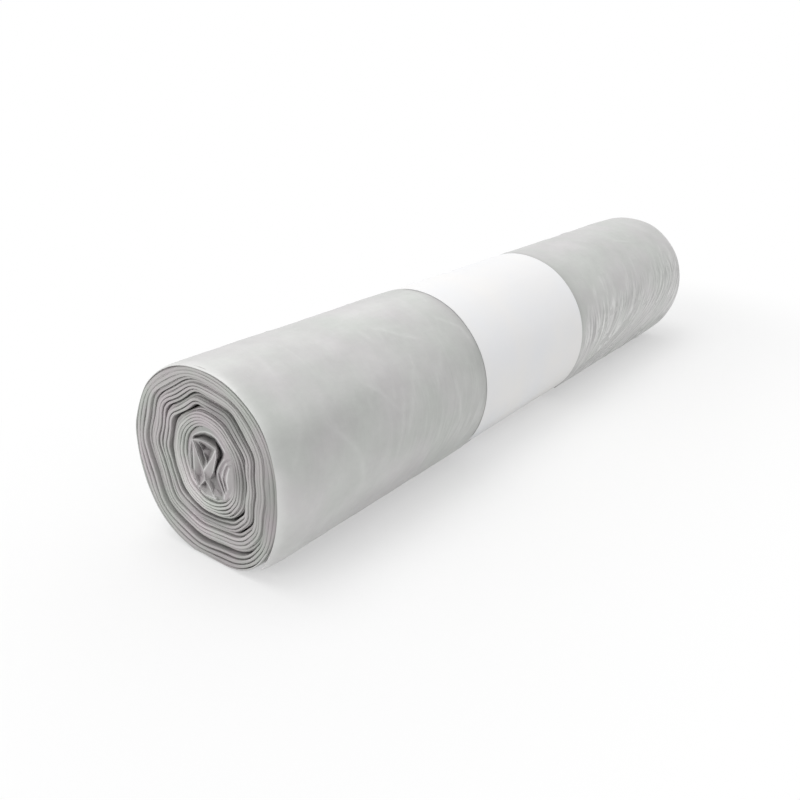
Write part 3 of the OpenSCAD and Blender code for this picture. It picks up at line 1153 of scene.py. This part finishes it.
def crumple_sheet():
    """Points of a fine sheet through those lines, its triangles and the edges of its rim."""
    points, edges = crumple_points()
    flat = [Vector(p[:2]) for p in points]
    laid, _, faces, origins, _, _ = geometry.delaunay_2d_cdt(flat, edges, [], 1, 1e-4)
    depths = [points[found[0]][2] if found else None for found in origins]
    known = [i for i, d in enumerate(depths) if d is not None]
    for i, d in enumerate(depths):
        if d is None:
            near = sorted(known, key=lambda k: (laid[k] - laid[i]).length)[:2]
            depths[i] = sum(depths[k] for k in near) / 2

    sheet = bmesh.new()
    made = [sheet.verts.new((p.x, p.y, d)) for p, d in zip(laid, depths)]
    for face in faces:
        sheet.faces.new([made[i] for i in face])
    bmesh.ops.subdivide_edges(sheet, edges=sheet.edges[:], cuts=5, use_grid_fill=True)
    bmesh.ops.triangulate(sheet, faces=sheet.faces[:])
    sheet.verts.ensure_lookup_table()
    front = np.array([v.co[:] for v in sheet.verts])
    tris = [[v.index for v in f.verts] for f in sheet.faces]
    rim = [[v.index for v in e.verts] for e in sheet.edges if e.is_boundary]
    sheet.free()
    return front, tris, rim


def closed_sheet(name, points, tris, rim):
    """Closed mesh of two sheets of points, one behind the other, joined at their rim."""
    count = len(points) // 2
    shell = bmesh.new()
    verts = [shell.verts.new(p * MM) for p in points]
    for face in tris + [[i + count for i in f[::-1]] for f in tris]:
        shell.faces.new([verts[i] for i in face])
    for i, k in rim:
        shell.faces.new([verts[i], verts[k], verts[k + count], verts[i + count]])
    bmesh.ops.recalc_face_normals(shell, faces=shell.faces[:])
    mesh = bpy.data.meshes.new(name)
    shell.to_mesh(mesh)
    shell.free()
    return mesh


def crumpled_start():
    """Sheet seen as ridges and hollows from each end, closed behind."""
    front, tris, rim = crumple_sheet()
    across, up, depth = front.T
    # Painted highlight along the ridges, which the noise below leaves smooth
    ridge_highlight = np.zeros(len(front))
    for ridge in RIDGES:
        away, _ = from_line(across, up, [p[:2] for p in ridge])
        ridge_highlight = np.maximum(ridge_highlight, np.exp(-(away / RIDGE_WIDTH) ** 2))
    depth += 0.14 * soft_noise(across / 1.9, up / 2.6, 31) * (1 - ridge_highlight)
    at_depth = np.stack([across + LEAN[0] * depth, up + LEAN[1] * depth + roll_high.z / 2])
    for name, end, inwards in (("crumple_near", roll_low.x, 1), ("crumple_far", roll_high.x, -1)):
        both = np.concatenate([np.stack([end + inwards * (depth + behind), *at_depth], axis=-1)
                               for behind in (0, SHEET_T)])
        mesh = closed_sheet(name, both, tris, rim)
        mesh.attributes.new("painted_highlight", "FLOAT", "POINT").data.foreach_set(
            "value", np.tile(ridge_highlight, 2))
        mesh.shade_smooth()
        mesh.set_sharp_from_angle(angle=math.radians(FACET_ANGLE))
        piece = new_piece(name, mesh, crumpled)
        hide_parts("bag_roll")


# Paper band: one strip whose ends lap on the roll's back

BAND_STEP = 2
BAND_ROW = 3.2
BAND_LIFT = 0.12
CLIMB = 6
REST_HALF = 40
CURL_L = 1.2


def paper_band():
    """Paper round the waist, a little wavy and curled up at both edges."""
    first, last = LAP_ANGLE + math.degrees(LAP_L / OUTER_R), LAP_ANGLE - 360
    turns = np.append(np.arange(first, last, -BAND_STEP), last)
    count = round((band_high.x - band_low.x) / BAND_ROW)
    rows = np.linspace(band_low.x, band_high.x, count + 1)
    rows = np.sort(np.concatenate([rows, [rows[0] + 0.5, rows[-1] - 0.5]]))
    radius = np.array([skin_r(LAST_TURN + (a - LAST_TURN) % 360) for a in turns])
    radius += PAPER_T * np.array([ease((first - 360 + CLIMB - a) / CLIMB) for a in turns])
    bottom = np.array([bump_at(a % 360, 270, REST_HALF) for a in turns])
    x, s = np.meshgrid(rows, np.radians(turns) * OUTER_R)
    edge = np.exp(-np.minimum(x - rows[0], rows[-1] - x) / CURL_L)
    curl = BAND_LIFT * edge * (0.5 + 0.5 * soft_noise(s / 12, x / 80, 22))
    wave = np.maximum(0.07 * soft_noise(x / 24, s / 31, 21), -0.03)
    outer = radius[:, None] + (wave + curl) * (1 - bottom[:, None])
    all_r = np.concatenate([outer, (outer - PAPER_T)[:, ::-1]], axis=1)
    all_x = np.concatenate([x, x[:, ::-1]], axis=1)
    mesh = slab_mesh("paper_strip", around(all_x, all_r, turns[:, None]))
    mesh.set_sharp_from_angle(angle=math.radians(50))
    piece = new_piece("paper_strip", mesh, paper)
    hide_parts("paper_band")


# Studio

WHITE_FROM, WHITE_TO, WHITE_LEAST = 0.045, 0.15, 0.45
MIRRORED_FROM, MIRRORED_TO = 0.032, 0.06


def seen_directly(tree):
    """1 for what the camera, a reflection or a view through film sees, 0 for what lights."""
    path = put(tree, "ShaderNodeLightPath")
    through = path["Is Glossy Ray"].calc("MAXIMUM", path["Is Transmission Ray"])
    return path["Is Camera Ray"].calc("MAXIMUM", through)


def floor_material():
    """Pale floor that keeps the roll's shadow and turns to a white backdrop further off."""
    material, tree, shader, _ = plain_material("pale floor", {
        "Cool": (0.85, 0.85, 0.855, 1), "Warm": (0.86, 0.86, 0.855, 1), "Scale": 3.0,
        "Patches": 0.01})
    feed(tree, shader, {"Roughness": 0.95, "Specular IOR Level": 0.1})
    along, across, _ = parts(own_place(tree))
    past_end = (abs(along) - (MID_X + WEB_W / 2) * MM).calc("MAXIMUM", 0.0)
    away = (past_end * past_end + across * across).calc("SQRT")
    white = spread(away, WHITE_FROM, WHITE_TO, WHITE_LEAST, interpolation_type="SMOOTHSTEP")
    mirrored = spread(away, MIRRORED_FROM, MIRRORED_TO, interpolation_type="SMOOTHSTEP")
    glossy = put(tree, "ShaderNodeLightPath")["Is Glossy Ray"]
    share = (white * seen_directly(tree)).calc("MAXIMUM", glossy * mirrored)
    glow = put(tree, "ShaderNodeEmission", {"Color": (1, 1, 1, 1), "Strength": 1.0})[0]
    lit = Value(tree, shader.outputs[0])
    blend = put(tree, "ShaderNodeMixShader", {0: share, 1: lit, 2: glow})[0]
    feed(tree, tree.nodes["Material Output"], {"Surface": blend})
    return material


AMBIENT = 0.72


def studio():
    """Pale floor and plain soft lamps."""
    bpy.ops.mesh.primitive_plane_add(size=8, location=(0, 0, 0))
    floor = bpy.context.object
    floor.name = "floor"
    floor.data.materials.append(floor_material())

    world = bpy.context.scene.world or bpy.data.worlds.new("studio")
    bpy.context.scene.world = world
    world.use_nodes = True
    tree = world.node_tree
    strength = AMBIENT + seen_directly(tree) * (1 - AMBIENT)
    feed(tree, tree.nodes["Background"], {"Color": (1, 1, 1, 1), "Strength": strength})

    def lamp(name, where, target, size, power):
        data = bpy.data.lights.new(name, "AREA")
        data.shape = "RECTANGLE"
        data.size, data.size_y = size
        data.energy = power
        made = bpy.data.objects.new(name, data)
        made.location = where
        made.rotation_euler = (Vector(target) - Vector(where)).to_track_quat("-Z", "Y").to_euler()
        bpy.context.collection.objects.link(made)

    lamp("top softbox", (-0.15, 0.14, 0.9), (0, 0, 0.03), (0.7, 0.5), 3.2)
    lamp("end softbox", (-0.9, 0.15, 0.4), (-0.1, 0, 0.03), (0.5, 0.5), 1.7)


ROLL_R = 32
CAMERA_FROM_END = Vector((-3.935, -5.189, 3.289))
CAMERA_YAW = 0.651
CAMERA_PITCH = 0.3923
FOCAL_PX = 791.25
PHOTO_PX = 800


def camera():
    """Camera fitted to the photograph."""
    data = bpy.data.cameras.new("camera")
    data.sensor_width = 36
    data.lens = FOCAL_PX / PHOTO_PX * data.sensor_width
    data.clip_start = 0.01
    made = bpy.data.objects.new("camera", data)
    near_middle = Vector((roll_low.x, SHIFT_Y, SHIFT_Z))
    made.location = (near_middle + CAMERA_FROM_END * ROLL_R) * MM
    ahead = Vector((math.cos(CAMERA_YAW) * math.cos(CAMERA_PITCH),
                    math.sin(CAMERA_YAW) * math.cos(CAMERA_PITCH),
                    -math.sin(CAMERA_PITCH)))
    made.rotation_euler = ahead.to_track_quat("-Z", "Y").to_euler()
    bpy.context.collection.objects.link(made)
    bpy.context.scene.camera = made


wound_web()
outer_wrap()
crumpled_start()
paper_band()
studio()
camera()
bpy.context.scene.view_settings.view_transform = "Standard"
